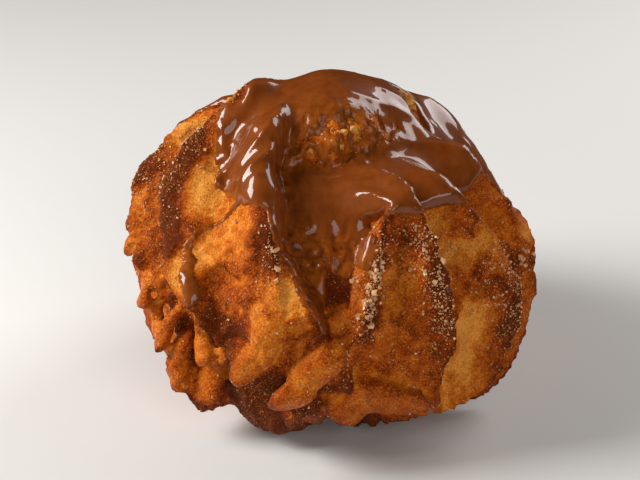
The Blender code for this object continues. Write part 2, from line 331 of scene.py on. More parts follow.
def grid_faces(columns, rows, first=0):
    """The faces of a closed grid whose two end points come after its rows."""
    faces = []
    for row in range(rows - 1):
        for column in range(columns):
            here, there = row * columns + column, row * columns + (column + 1) % columns
            faces.append((here, here + columns, there + columns, there))
    top, bottom = rows * columns, rows * columns + 1
    for column in range(columns):
        there = (column + 1) % columns
        faces.append((top, column, there))
        faces.append((bottom, (rows - 1) * columns + there, (rows - 1) * columns + column))
    return [tuple(corner + first for corner in face) for face in faces]


def close_grid(points):
    """The grid's points, then the two that close its ends."""
    return np.vstack([points.reshape(-1, 3), points[0].mean(axis=0), points[-1].mean(axis=0)])


# Tongues: lips of paste that tore off the folds and baked hard. Each runs through places on the
# skin with a width at its root and one at its tip, which stands clear of the skin by the lift.
Tongue = namedtuple("Tongue", "path widths depth lift brown")
TONGUES = [
    Tongue([(-18, 100), (-19, 105), (-20, 110), (-21.5, 116.5)], (4.8, 3.2), 2.4, 1.9, 0.24),
    Tongue([(15, 80), (12, 89), (9.5, 97), (7, 106)], (1.3, 1.7), 2.2, 1.5, 0.42),
    Tongue([(10, 104), (2, 109), (-6.5, 115), (-16, 122)], (2.4, 4.2), 2.4, 2.0, 0.36),
    Tongue([(31, 123), (22, 129), (13, 135), (3, 141)], (3.6, 7.0), 3.2, 2.4, 0.48),
    Tongue([(-16, 136), (-9, 140), (-3, 142), (2, 143)], (3.0, 4.6), 2.6, 0.8, 0.80),
    Tongue([(-45, 110), (-45, 114), (-44, 118), (-43, 122)], (1.6, 3.6), 2.2, 2.4, 0.22),
    Tongue([(-52, 102), (-52, 106), (-54, 110), (-54, 114)], (1.4, 2.2), 1.8, 1.8, 0.35),
    Tongue([(-40, 122), (-45, 126), (-47, 129), (-49, 131)], (2.8, 4.0), 2.2, 1.6, 0.40),
    Tongue([(-51, 113), (-53, 117), (-54, 121), (-54, 126)], (2.2, 3.4), 2.0, 2.0, 0.30),
    Tongue([(-66, 97), (-64, 100), (-62, 102), (-62, 105)], (1.8, 2.8), 1.8, 2.0, 0.30),
    Tongue([(-66, 86), (-68, 88), (-70, 90), (-73, 92)], (2.0, 1.2), 1.4, 2.6, 0.20),
    Tongue([(-60, 103), (-60, 106), (-59, 109), (-59, 113)], (1.4, 2.2), 1.8, 1.8, 0.30),
    Tongue([(-37, 108), (-40, 109), (-42, 110), (-45, 110)], (1.4, 2.6), 1.8, 1.2, 0.30),
    Tongue([(-54, 92), (-50, 98), (-46, 104), (-41, 108)], (1.6, 2.0), 2.0, 0.8, 0.28),
    Tongue([(-34, 112), (-35, 115), (-36, 119), (-37, 123)], (1.2, 1.8), 1.6, 1.4, 0.30),
]
TONGUE_STEPS, TONGUE_SIDES = 30, 24
ROOT_SUNK, ROOT_END, TIP_START = 0.1, 0.1, 0.86
TONGUE_LUMPS, TONGUE_GRIT = 0.35, 0.2


def tongue_points(tongue):
    along = np.linspace(0, 1, TONGUE_STEPS)
    turn, fall = along_path(tongue.path, along)
    spine = skin(turn, fall)
    out = spine / np.linalg.norm(spine, axis=1)[:, None]
    spine = spine + out * (tongue.lift * along ** 1.3 - ROOT_SUNK * tongue.depth)[:, None]
    ahead = np.gradient(spine, axis=0)
    across = np.cross(ahead, out)
    across = across / np.linalg.norm(across, axis=1)[:, None]
    blunt = np.sqrt(np.clip(1 - ((along - TIP_START) / (1 - TIP_START)).clip(0) ** 2, 0, 1))
    blunt = blunt * np.sqrt(ease(along / ROOT_END + 0.15))
    at_root, at_tip = tongue.widths
    width = np.interp(along, (0, 0.75, 1), (at_root, at_tip, at_tip)) / 2 * blunt
    depth = tongue.depth / 2 * (0.25 + 0.75 * blunt)
    angle = np.linspace(0, 2 * math.pi, TONGUE_SIDES, endpoint=False)
    flat = np.sign(np.sin(angle)) * np.abs(np.sin(angle)) ** 0.7
    points = (spine[:, None] + across[:, None] * (width[:, None] * np.cos(angle))[..., None]
              + out[:, None] * (depth[:, None] * flat)[..., None])
    uneven = (TONGUE_LUMPS * grain(points, 2.2, seed=12, octaves=2)
              + TONGUE_GRIT * grain(points, 0.9, seed=13, octaves=2))
    return points + out[:, None] * uneven[..., None]


rough_points = [close_grid(grid_points)]
rough_faces = grid_faces(COLUMNS, ROWS)
for tongue in TONGUES:
    first = sum(len(points) for points in rough_points)
    rough_points.append(close_grid(tongue_points(tongue)[::-1]))
    rough_faces += grid_faces(TONGUE_SIDES, TONGUE_STEPS, first)
rough = np.vstack(rough_points) + HEART
rough[:, 2] = np.maximum(rough[:, 2], 0)


def new_mesh(name, points, faces):
    mesh = bpy.data.meshes.new(name)
    mesh.from_pydata(points.tolist(), [], faces)
    mesh.update()
    return mesh


def new_object(name, mesh):
    thing = bpy.data.objects.new(name, mesh)
    bpy.context.scene.collection.objects.link(thing)
    return thing


def modified(thing):
    """The mesh that an object's modifiers make of it."""
    return bpy.data.meshes.new_from_object(thing.evaluated_get(bpy.context.evaluated_depsgraph_get()))


# Baked together: everything becomes one even skin.
VOXEL = 0.40
raw_bun = new_object("raw_bun", new_mesh("raw_bun", rough, rough_faces))
even = raw_bun.modifiers.new("even", "REMESH")
even.mode = "VOXEL"
even.voxel_size = VOXEL
even.use_smooth_shade = True
baked = modified(raw_bun)
bpy.data.objects.remove(raw_bun)


def mesh_points(mesh):
    points = np.empty(len(mesh.vertices) * 3)
    mesh.vertices.foreach_get("co", points)
    return points.reshape(-1, 3)


def mesh_normals(mesh):
    normals = np.empty(len(mesh.vertices) * 3)
    mesh.vertices.foreach_get("normal", normals)
    return normals.reshape(-1, 3)


def mesh_edges(mesh):
    edges = np.empty(len(mesh.edges) * 2, dtype=np.int64)
    mesh.edges.foreach_get("vertices", edges)
    return edges.reshape(-1, 2)


def relax(values, edges, rounds):
    """Each value moves towards the mean of its neighbours, again and again."""
    count = np.bincount(edges.ravel(), minlength=len(values)).astype(float)
    for _ in range(rounds):
        total = np.stack([np.bincount(edges[:, 0], part[edges[:, 1]], len(values))
                          + np.bincount(edges[:, 1], part[edges[:, 0]], len(values))
                          for part in values.reshape(len(values), -1).T], axis=1)
        values = (values + (total / count[:, None]).reshape(values.shape)) / 2
    return values


def tree_of(points):
    tree = kdtree.KDTree(len(points))
    for number, point in enumerate(points):
        tree.insert(point, number)
    tree.balance()
    return tree


# Where each point of the baked skin lies in the swirl, read from the nearest point of the grid.
place_tree = tree_of(rough)
tongue_turn, tongue_fall = [], []
for tongue in TONGUES:
    along = np.linspace(1, 0, TONGUE_STEPS)[:, None] * np.ones(TONGUE_SIDES)
    for values, store in zip(zip(*tongue.path), (tongue_turn, tongue_fall)):
        placed = through(values, KNOTS, along)
        store.append(np.append(placed.ravel(), (placed[0, 0], placed[-1, 0])))
rough_turn = np.concatenate([np.append(grid_turn.ravel(), (0, 0))] + tongue_turn)
rough_fall = np.concatenate([np.append(grid_fall.ravel(), (0, 180))] + tongue_fall)
grid_count = COLUMNS * ROWS + 2
is_tongue = np.arange(len(rough)) >= grid_count
tongue_brown = np.repeat([tongue.brown for tongue in TONGUES], TONGUE_STEPS * TONGUE_SIDES + 2)
rough_brown = np.concatenate([np.zeros(grid_count), tongue_brown])

bun_points = mesh_points(baked)
bun_edges = mesh_edges(baked)
nearest = np.array([place_tree.find(point)[1] for point in bun_points])
bun_turn, bun_fall = rough_turn[nearest], rough_fall[nearest]
tongue_mark = relax(is_tongue[nearest].astype(float), bun_edges, rounds=2)

# Fine relief: lumps, grit, ribs left by the nozzle and thin cracks where the crust tore. Streaks run
# down the swirl, so they are read from a place that changes fast with the turn and little with the fall.
STREAK_ROUND, STREAK_DOWN = 30, 0.16
LUMPY, GRITTY, CRACK_DEPTH, CRACK_WIDE = 0.28, 0.20, 0.8, 0.05
streak_place = np.stack([np.sin(np.radians(bun_turn)) * STREAK_ROUND,
                         np.cos(np.radians(bun_turn)) * STREAK_ROUND, bun_fall * STREAK_DOWN], axis=1)
ribs = grain(streak_place, 2.6, seed=5, octaves=3)
lumps = grain(bun_points, 3.6, seed=6, octaves=3)
grit = grain(bun_points, 1.1, seed=7, octaves=4)
cracks = np.clip(1 - np.abs(grain(bun_points * (1, 1, 0.6), 4.2, seed=8, octaves=3)) / CRACK_WIDE, 0, 1)
torn = np.clip(patches(TORN, bun_turn, bun_fall), 0, 1)
bun_normals = mesh_normals(baked)
smooth_tongue = 1 - 0.75 * tongue_mark
above_foot = ease(bun_points[:, 2] / 1.2)
RIBBED = [(44, 112, 8, 22, 0.5), (64, 108, 9, 22, 0.4), (-75, 90, 12, 25, 0.4), (30, 128, 14, 8, 0.4)]
LEAST_RIBBED = 0.3
ribbed = LEAST_RIBBED + np.clip(patches(RIBBED, bun_turn, bun_fall), 0, 1 - LEAST_RIBBED)
fine = (LUMPY * lumps + GRITTY * grit + ribbed * ribs) * smooth_tongue - CRACK_DEPTH * cracks * torn
bun_points = bun_points + bun_normals * (fine * above_foot)[:, None]
bun_points[:, 2] = np.maximum(bun_points[:, 2], 0)

# How brown each point baked: thin edges and proud folds darken, split valleys stay pale. The spots add to
# it or take from it, place by place, and every tongue has a tone of its own. Shade is painted in as well:
# the hollows under the lips are darkened as painted shade, and some gaps between the lips and the foot
# under the tongues partly so.
smoothed = relax(bun_points, bun_edges, rounds=10)
proud = ((bun_points - smoothed) * bun_normals).sum(axis=1)
wide_proud = ((bun_points - relax(smoothed, bun_edges, rounds=60)) * bun_normals).sum(axis=1)
BAKED_AND_PAINTED_SHADE_SPOTS = [
    # Far left.
    (-66, 48, 11, 6, -0.40), (-66, 52, 16, 6, -0.60), (-71, 66, 6, 18, 0.15),
    (-70, 67, 11, 6, 0.12), (-74, 77, 6, 6, -0.40), (-66, 108, 9, 9, -0.20),
    (-58, 122, 10, 12, -0.22),
    # The left ridge, its valley and the torn lips under it. The dark spots in the gaps between the lips
    # are partly the crust's colour and partly painted shade.
    (-50, 54, 4, 11, 0.62), (-49, 59, 3, 6, 0.25), (-45, 62, 2.5, 11, -0.30),
    (-46, 63, 4, 6, -0.35), (-50, 64, 4, 11, 0.62), (-43, 73, 4, 7, -0.45),
    (-43, 73, 2.5, 8, -0.25), (-49, 74, 4, 9, 0.52), (-46, 78, 3, 5, 0.25), (-44, 84, 3, 7, 0.40),
    (-42, 86, 4, 7, 0.40), (-36, 89, 3, 6, -0.20), (-40, 93, 6, 11, -0.20), (-38, 94, 4, 7, -0.40),
    (-43, 104, 4, 12, 0.30), (-54, 109, 4, 6, 0.50), (-40, 112, 4, 8, 0.35), (-49, 120, 6, 6, 0.30),
    (-40, 120, 7, 11, 0.40), (-47, 127, 3, 4, 0.40), (-38, 135, 4, 4, 0.20),
    # The front panel, and the dark foot below it, which is partly the crust's colour and partly painted
    # shade under the tongues.
    (-30, 76, 7, 6, -0.12), (-22, 82, 3, 11, 0.35), (-20, 82, 3, 8, 0.40), (-30, 85, 11, 16, -0.10),
    (-18, 91, 4, 4, 0.45), (-18, 94, 3, 4, -0.25), (-13, 97, 4, 4, -0.50), (-28, 102, 3, 4, -0.35),
    (-22, 102, 4, 4, 0.15), (-20, 107, 6, 6, -0.30), (-26, 108, 4, 4, 0.45),
    (-14, 110, 14, 8, 0.30), (-27, 111, 3, 9, 0.35), (-24, 114, 4, 4, -0.40),
    (-17, 114, 4, 4, 0.10), (-17, 120, 6, 4, 0.50), (-26, 137, 16, 10, 0.75),
    # The middle, and the foot under the long tongue, painted dark, partly as the crust's colour and
    # partly as painted shade under the tongues.
    (2, 44, 12, 7, -0.15), (-10, 49, 8, 7, 0.20), (5, 82, 7, 6, 0.35), (-4, 96, 5, 6, 0.25),
    (6, 98, 6, 7, 0.25), (3, 100, 4, 9, 0.40), (-8, 101, 3, 4, -0.40), (-10, 104, 8, 6, -0.10),
    (-4, 104, 6, 4, 0.15), (-8, 121, 9, 4, 0.25), (-11, 131, 6, 4, 0.35), (-8, 144, 16, 12, 0.90),
    (-4, 153, 7, 4, 0.55),
    # The fold under the thin strand, and the one beside it.
    (28, 42, 11, 7, -0.12), (10, 84, 6, 8, 0.35), (20, 84, 3, 4, 0.45), (14, 91, 3, 7, 0.35),
    (25, 93, 2, 9, 0.40), (13, 95, 2, 9, 0.40), (20, 97, 3, 8, -0.12), (14, 103, 2, 6, 0.40),
    (27, 104, 2, 8, 0.38), (12, 105, 3, 6, 0.45), (18, 108, 8, 9, 0.10), (20, 108, 4, 7, -0.05),
    (12, 110, 3, 4, 0.40),
    # The broad flank and the golden valley right of it.
    (31, 80, 5, 4, -0.35), (40, 82, 4, 4, 0.35), (35, 85, 4, 6, -0.45), (45, 86, 4, 6, -0.60),
    (46, 91, 4, 6, 0.50), (40, 92, 6, 6, -0.35), (50, 93, 3, 4, -0.40), (50, 96, 4, 4, 0.45),
    (50, 101, 6, 4, 0.30), (40, 104, 3, 6, 0.30), (48, 105, 6, 9, -0.50), (54, 107, 6, 7, 0.30),
    (56, 108, 3, 6, 0.35), (41, 113, 4, 6, 0.35), (48, 115, 4, 7, -0.45), (57, 118, 6, 4, 0.20),
    (46, 123, 6, 6, -0.30), (38, 134, 11, 4, -0.20),
    # Far right.
    (66, 85, 6, 4, -0.60), (64, 87, 4, 6, 0.35), (68, 95, 7, 4, 0.30),
]
EVEN_BROWN = 0.54
BROWN_RANGE = (0.06, 1)
patchy = 0.10 * grain(bun_points, 7.0, seed=9, octaves=2)
patchy = patchy + 0.16 * grain(streak_place, 3.0, seed=15, octaves=3)
shaded = 1.1 * np.clip(proud, -0.25, 0.25) + 0.10 * np.clip(wide_proud, -1.5, 1.5)
# Painted shade: the hollows under the lips are darkened in the colour.
painted_shade_in_hollows = 0.18 * np.clip(-patches(HOLLOWS, bun_turn, bun_fall), 0, 4)
browned = EVEN_BROWN + shaded + patchy + patches(BAKED_AND_PAINTED_SHADE_SPOTS, bun_turn, bun_fall) + painted_shade_in_hollows
tongue_tone = relax(rough_brown[nearest], bun_edges, rounds=2) / np.maximum(tongue_mark, 0.01)
browned += (tongue_tone + shaded + 0.5 * patchy - browned) * tongue_mark
browned = browned.clip(*BROWN_RANGE)


def set_points(mesh, points):
    mesh.vertices.foreach_set("co", points.ravel())
    mesh.update()


def set_measure(mesh, name, values):
    stored = mesh.attributes.new(name, "FLOAT", "POINT")
    stored.data.foreach_set("value", np.ascontiguousarray(values, dtype=np.float32))


set_points(baked, bun_points * MM)
set_measure(baked, "browned", browned)
set_measure(baked, "tongue", tongue_mark)
baked.shade_smooth()
bun = new_object("choux_bun_baked", baked)


class Shade:
    """One value in a material. Sums and products of shades add the Math nodes they need."""

    def __init__(self, tree, socket=None):
        self.tree, self.socket = tree, socket

    def node(self, kind, settings, inputs, output=0):
        """A node of any kind: its settings come first, then the values or shades of its sockets."""
        made = self.tree.nodes.new("ShaderNode" + kind)
        for name, value in settings.items():
            if name == "stops":
                stops = made.color_ramp.elements
                for place, colour in value[1:-1]:
                    stops.new(place)
                for stop, (place, colour) in zip(stops, value):
                    stop.position, stop.color = place, (*colour, 1)
            else:
                setattr(made, name, value)
        for name, value in inputs.items():
            if isinstance(value, Shade):
                self.tree.links.new(value.socket, made.inputs[name])
            else:
                made.inputs[name].default_value = value
        return Shade(self.tree, made.outputs[output])

    def math(self, operation, *values):
        return self.node("Math", {"operation": operation}, dict(enumerate(values)))

    def __add__(self, other):
        return self.math("ADD", self, other)

    def __sub__(self, other):
        return self.math("SUBTRACT", self, other)

    def __rsub__(self, other):
        return self.math("SUBTRACT", other, self)

    def __mul__(self, other):
        return self.math("MULTIPLY", self, other)

    __radd__, __rmul__ = __add__, __mul__

    def held(self):
        return self.node("Clamp", {}, {"Value": self})

    def over(self, colour, below):
        """This colour where the shade is 1, and what lies below where it is 0."""
        return self.node("Mix", {"data_type": "RGBA"}, {0: self, 6: below, 7: colour}, 2)


def measure(base, name):
    return base.node("Attribute", {"attribute_name": name}, {}, "Fac")


def speckle(base, size, detail=3.0, stretch=(1, 1, 1)):
    """Even noise of 0 to 1 through the piece, with spots of this size in mm."""
    place = base.node("TexCoord", {}, {}, "Object")
    place = base.node("Mapping", {}, {"Vector": place, "Scale": stretch})
    return base.node("TexNoise", {}, {"Vector": place, "Scale": 1 / (size * MM), "Detail": detail})


def new_material(name, **constants):
    material = bpy.data.materials.new(name)
    material.use_nodes = True
    shader = material.node_tree.nodes["Principled BSDF"]
    for socket, value in constants.items():
        shader.inputs[socket.replace("_", " ")].default_value = value
    return material, shader, Shade(material.node_tree)


def feed(shader, base, **shades):
    for socket, shade in shades.items():
        base.tree.links.new(shade.socket, shader.inputs[socket.replace("_", " ")])


# The crust: gold where it baked least and nearly black where it baked most, speckled in three sizes, and
# darker still where shade is painted in. Its grain breaks up the gloss, the tongues are smoother, and
# bright specks lie in spots, partly fine sugar and partly painted glints.
CRUST_STOPS = [(0.0, (0.72, 0.290, 0.050)), (0.2, (0.59, 0.178, 0.017)), (0.42, (0.46, 0.098, 0.006)),
               (0.65, (0.29, 0.044, 0.003)), (0.86, (0.150, 0.019, 0.002)), (1.0, (0.080, 0.011, 0.002))]
GLINT_AND_SUGAR_SPECK = (0.78, 0.32, 0.055, 1)
crust, shader, base = new_material("baked_choux", Specular_IOR_Level=0.2,
                                   Specular_Tint=(1.0, 0.45, 0.15, 1))
# The brown measure also carries painted shade, so this colour paints that shade too.
bake_and_painted_shade = measure(base, "browned") + 0.9 * (speckle(base, 0.24, detail=1.0) - 0.5)
bake_and_painted_shade = bake_and_painted_shade + 0.45 * (speckle(base, 0.6) - 0.5) + 0.2 * (speckle(base, 2.2) - 0.5)
colour = base.node("ValToRGB", {"stops": CRUST_STOPS}, {"Fac": bake_and_painted_shade.held()})
glint = speckle(base, 0.35, detail=2.0)
rough = (0.62 - 0.22 * measure(base, "tongue") - 0.5 * (glint - 0.5)).held()
# Bright specks in spots: partly fine sugar and partly painted glints on the grain of the crust.
fine_speck_noise, speck_patch_noise = speckle(base, 0.20, detail=1.0), speckle(base, 3.0, detail=2.0)
painted_glints_and_sugar = (9 * (fine_speck_noise - 0.58)).held() * (4 * (speck_patch_noise - 0.38)).held()
colour = (0.6 * painted_glints_and_sugar).over(GLINT_AND_SUGAR_SPECK, colour)
height = 0.5 * speckle(base, 0.7, detail=5.0) + 0.5 * speckle(base, 0.22, detail=2.0) + 0.5 * painted_glints_and_sugar
bump = base.node("Bump", {}, {"Height": height, "Strength": 0.8, "Distance": 0.28 * MM})
feed(shader, base, Base_Color=colour, Roughness=rough, Normal=bump)
baked.materials.clear()
baked.materials.append(crust)
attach(bun, "root")
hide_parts("choux_bun")

# ---------------------------------------------------------------------------------------------------
# The glaze: milk chocolate poured warm over the crown. It fills the folds, thins over the crests,
# stops in thick rounded lobes and runs down between the folds before it sets.
# ---------------------------------------------------------------------------------------------------
# The glaze's edge is at this fall at each of these turns, round from the back.
EDGE = [(-180, 54), (-150, 60), (-125, 47), (-100, 54), (-82, 38), (-66, 31), (-54, 32), (-46, 39),
        (-44, 60), (-41, 68), (-36, 71), (-30, 74), (-25, 74), (-20, 76), (-14, 77), (-7, 79), (0, 80),
        (8, 80), (12, 79), (16, 76), (18, 77), (28, 77), (31, 75), (45, 74), (55, 72), (57, 68), (60, 63),
        (66, 62), (78, 64), (90, 56), (104, 60), (118, 51), (135, 60), (158, 52), (180, 54)]

# Runs of glaze below the edge. The half width in mm goes from the first of the widths to the second.
Run = namedtuple("Run", "places widths")
RUNS = [
    Run([(-29, 70), (-34, 76), (-38, 80), (-39, 84)], (0.5, 0.22)),
    Run([(-39, 84), (-38.5, 89), (-36, 94), (-33, 99)], (0.22, 0.65)),
    Run([(10, 78), (12, 83), (12, 87), (10, 91)], (1.1, 0.8)),
    Run([(-10, 74), (-9, 82), (-7, 88), (-6, 94)], (5.0, 2.6)),
    Run([(-6, 92), (-5, 95), (-4, 99), (-3, 104)], (2.4, 1.0)),
    Run([(2, 78), (4, 83), (5, 88), (5, 93)], (3.0, 1.6)),
    Run([(92, 50), (93, 62), (95, 70), (96, 76)], (1.6, 1.4)),
    Run([(158, 50), (160, 62), (163, 72), (164, 82)], (1.7, 1.5)),
    Run([(228, 50), (227, 64), (224, 74), (222, 84)], (1.5, 1.3)),
    Run([(262, 50), (263, 58), (262, 66), (260, 71)], (1.5, 1.3)),
]

# Where the crust shows through, where the glaze gathers, where it is only a film, and where that
# film is so thin that the crust glows amber through it.
BARE_SPOTS = [(64, 40, 3, 5, 1.1), (66, 34, 3, 5, 1.1), (70, 28, 2, 5, 1.0), (-46, 38, 5, 5, 1.0)]
THICK_SPOTS = [
    (38, 64, 13, 9, 1.0), (54, 60, 6, 7, 0.5), (8, 72, 8, 5, 0.5), (-28, 66, 6, 7, 0.3),
    (0, 20, 30, 14, 0.2), (72, 40, 14, 14, 0.4),
]
THIN_SPOTS = [
    (-8, 51, 9, 5, 1.0), (8, 47, 10, 6, 1.0), (28, 42, 11, 5, 0.8), (-15, 68, 4, 9, 0.6),
    (-7, 92, 14, 9, 1.4), (5, 88, 6, 7, 1.0), (-40, 84, 6, 12, 1.0), (-40, 68, 5, 5, 0.6),
    (0, 46, 18, 9, 0.8), (24, 40, 12, 5, 0.5), (-12, 84, 9, 6, 0.6), (-20, 58, 5, 8, 0.6),
]
AMBER_SPOTS = [
    (-38, 86, 6, 16, 1.1), (11, 90, 3, 9, 1.0), (-30, 74, 5, 4, 0.6), (-8, 50, 8, 5, 0.9),
    (10, 46, 9, 6, 0.9), (26, 41, 8, 4, 0.7),
]

# Creases where the glaze wrinkled as it set, with their width and height in mm.
Crease = namedtuple("Crease", "places width height")
CREASES = [
    Crease([(-25, 36), (-27, 50), (-34, 62), (-41, 74)], 0.4, 0.6),
    Crease([(-22, 50), (-24, 56), (-28, 62), (-32, 70)], 0.4, 0.55),
    Crease([(-20, 26), (-25, 37), (-32, 49), (-40, 62)], 0.4, 0.5),
    Crease([(20, 74), (33, 72), (46, 70), (55, 67)], 0.5, 0.3),
    Crease([(10, 68), (14, 70), (17, 73), (18, 78)], 0.5, 0.5),
    Crease([(38, 46), (48, 48), (55, 55), (59, 66)], 0.6, 0.4),
    Crease([(-32, 26), (-36, 35), (-41, 45), (-45, 56)], 0.4, 0.5),
    Crease([(40, 24), (52, 30), (58, 36), (62, 46)], 0.5, 0.3),
    Crease([(-12, 84), (-8, 90), (-6, 96), (-5, 102)], 0.5, 0.3),
    Crease([(0, 80), (2, 86), (3, 92), (2, 98)], 0.5, 0.3),
    Crease([(10, 30), (30, 32), (50, 36), (70, 46)], 0.6, 0.25),
    Crease([(-40, 20), (0, 14), (40, 16), (80, 26)], 0.7, 0.25),
]
RUN_STEPS = 30
MOST_REACH, BARE_DROP = 3.0, 6.0


def glaze_reach(turn, fall, points):
    """Above zero where the glaze lies, as rough mm inside its edge."""
    edge = np.interp(turn, *zip(*EDGE))
    unevenness = 0.3 * grain(points, 6.0, seed=21, octaves=2)
    unevenness = unevenness + 0.06 * grain(points, 1.6, seed=24, octaves=2)
    reach = (edge - fall) * DEGREE + unevenness
    along = np.linspace(0, 1, RUN_STEPS)
    for run in RUNS:
        run_turn, run_fall = along_path(run.places, along)
        across = round_turn(turn[:, None] - run_turn) * np.sin(np.radians(run_fall))
        away = np.hypot(across, fall[:, None] - run_fall) * DEGREE - np.interp(along, (0, 1), run.widths)
        reach = np.maximum(reach, 0.3 * unevenness - away.min(axis=1))
    rough_crown = np.clip(patches(ROUGH_CROWN, turn, fall), 0, 1)
    islands = rough_crown * (0.50 + 1.3 * grain(points, 1.4, seed=31, octaves=3))
    bare = np.maximum(patches(BARE_SPOTS, turn, fall), islands)
    return np.minimum(reach, MOST_REACH - BARE_DROP * bare)


def true_cover(reach, points, edges):
    """The real distance to the glaze's edge, above zero inside it."""
    ends = reach[edges]
    crossing = edges[(ends[:, 0] > 0) != (ends[:, 1] > 0)]
    near, far = reach[crossing[:, 0]], reach[crossing[:, 1]]
    share = (near / (near - far))[:, None]
    places = points[crossing[:, 0]] * (1 - share) + points[crossing[:, 1]] * share
    tree = tree_of(places)
    return np.sign(reach) * np.array([tree.find(point)[2] for point in points])


# The part of the skin under the glaze and a little round it, copied and made twice as fine. It
# carries its place in the swirl, the skin it lies on and the smooth level over the folds with it.
MARGIN = 1.2
bun_reach = glaze_reach(bun_turn, bun_fall, bun_points)
bun_cover = true_cover(bun_reach, bun_points, bun_edges)
corner_lists = [list(face.vertices) for face in baked.polygons]
covered = [corners for corners in corner_lists if all(bun_cover[corner] > -MARGIN for corner in corners)]
used = sorted({corner for corners in covered for corner in corners})
renumber = {old: new for new, old in enumerate(used)}
sheet_faces = [[renumber[corner] for corner in corners] for corners in covered]
sheet = new_mesh("glaze_sheet", bun_points[used], sheet_faces)
level = relax(bun_points, bun_edges, rounds=300)[used]
carried = {"turn": bun_turn[used], "fall": bun_fall[used], "cover": bun_cover[used]}
for axis in range(3):
    carried[f"level_{axis}"] = level[:, axis]
    carried[f"skin_{axis}"] = bun_points[used][:, axis]
for name, values in carried.items():
    set_measure(sheet, name, values)
glaze_sheet = new_object("glaze_sheet", sheet)
finer = glaze_sheet.modifiers.new("finer", "SUBSURF")
finer.subdivision_type = "SIMPLE"
finer.levels = finer.render_levels = 1
glaze_mesh = modified(glaze_sheet)
bpy.data.objects.remove(glaze_sheet)


def get_measure(mesh, name):
    values = np.empty(len(mesh.vertices))
    mesh.attributes[name].data.foreach_get("value", values)
    return values


glaze_turn, glaze_fall = get_measure(glaze_mesh, "turn"), get_measure(glaze_mesh, "fall")
cover = get_measure(glaze_mesh, "cover")
on_skin = np.stack([get_measure(glaze_mesh, f"skin_{axis}") for axis in range(3)], axis=1)
levelled = np.stack([get_measure(glaze_mesh, f"level_{axis}") for axis in range(3)], axis=1)
glaze_edges = mesh_edges(glaze_mesh)
levelled = relax(levelled, glaze_edges, rounds=6)
set_points(glaze_mesh, levelled)
out = mesh_normals(glaze_mesh)
GLAZE_DEPTH = 0.45
thin = patches(THIN_SPOTS, glaze_turn, glaze_fall)
thin = np.clip(thin + 0.2 * grain(on_skin, 3.0, seed=22, octaves=2), 0, 1)
thick = GLAZE_DEPTH + patches(THICK_SPOTS, glaze_turn, glaze_fall)
thick = thick + 0.10 * grain(on_skin, 8.0, seed=23, octaves=1)
creased = np.zeros(len(on_skin))
for crease in CREASES:
    crease_turn, crease_fall = along_path(crease.places, np.linspace(0, 1, RUN_STEPS))
    across = round_turn(glaze_turn[:, None] - crease_turn) * np.sin(np.radians(crease_fall))
    away = np.hypot(across, glaze_fall[:, None] - crease_fall) * DEGREE
    nearest_step = away.argmin(axis=1)
    ends = np.sin(math.pi * nearest_step / (RUN_STEPS - 1)) ** 0.5
    creased += crease.height * bell(away.min(axis=1) / crease.width) * ends


def smooth_top(one, other, soft):
    """The higher of the two, rounded where they cross."""
    return (one + other + np.sqrt((one - other) ** 2 + soft ** 2)) / 2


# The glaze fills the dips up to a smooth level and leaves a film on what stands above it.
FILM_DEPTH, FILM_THINNED, FILL_LOST = 0.35, 0.2, 9
SOFT, SOFT_CREST, CREST_SUNK = 0.7, 0.3, 0.1
proud_skin = ((on_skin - levelled) * out).sum(axis=1)
film = proud_skin + FILM_DEPTH - FILM_THINNED * thin
fill = thick - FILL_LOST * ease(thin)
poured_over = smooth_top(film, fill, SOFT)
flooded = smooth_top(relax(poured_over, glaze_edges, rounds=90), film - CREST_SUNK, SOFT_CREST)
top = flooded + (poured_over - flooded) * thin + creased * (1 - thin)

# Its rim is round, no part is deeper than most allows, and past its edge it dips into the crust.
RIM_WIDE, EDGE_SUNK = 1.1, 0.5
rim = np.sqrt(np.clip(1 - (1 - np.clip(cover / RIM_WIDE, 0, 1)) ** 2, 0, 1))
bulge = np.clip(patches(THICK_SPOTS, glaze_turn, glaze_fall), 0, 1)
most = (0.45 + 0.9 * bulge) * (1 + np.maximum(cover, 0)) + 0.3 * creased
depth = np.minimum(top - proud_skin, most) * rim - EDGE_SUNK * ease(-cover / EDGE_SUNK)
follow = ease(cover / 2.0) * (1 - thin)
sideways_off = on_skin - levelled - out * proud_skin[:, None]
glaze_points = levelled + out * (proud_skin + depth)[:, None] + sideways_off * (1 - follow)[:, None]
settle = (ease(cover / 0.8) * (1 - 0.8 * thin))[:, None]
glaze_points += (relax(glaze_points, glaze_edges, rounds=10) - glaze_points) * settle

# Closed into one shell, with its underside sunk in the crust and a border between the two.
UNDER_SUNK = 0.7
under = on_skin - out * UNDER_SUNK
quads = np.array([list(face.vertices) for face in glaze_mesh.polygons])
sides = [tuple(side) for corner in range(4) for side in quads[:, [corner, (corner + 1) % 4]].tolist()]
shared = set(sides)
border = [(first, second) for first, second in sides if (second, first) not in shared]
count = len(glaze_points)
faces = quads.tolist() + (quads[:, ::-1] + count).tolist()
faces += [(second, first, first + count, second + count) for first, second in border]
poured = new_mesh("poured_glaze", np.vstack([glaze_points, under]) * MM, faces)
poured.shade_smooth()

# How thin it lies over the crust, and how much of the amber shows.
FULL_DEPTH = 0.55
film_share = np.clip(np.maximum(1 - depth / FULL_DEPTH, thin), 0, 1)
amber_share = np.clip(patches(AMBER_SPOTS, glaze_turn, glaze_fall), 0, 1) * film_share
set_measure(poured, "thin", np.tile(film_share, 2))
set_measure(poured, "amber", np.tile(amber_share, 2))
glaze = new_object("glaze_poured", poured)
MOST_TRIANGLES = 190000
lighter = glaze.modifiers.new("lighter", "DECIMATE")
lighter.ratio = min(1, MOST_TRIANGLES / (2 * len(faces)))
poured = modified(glaze)
glaze.modifiers.clear()
glaze.data = poured

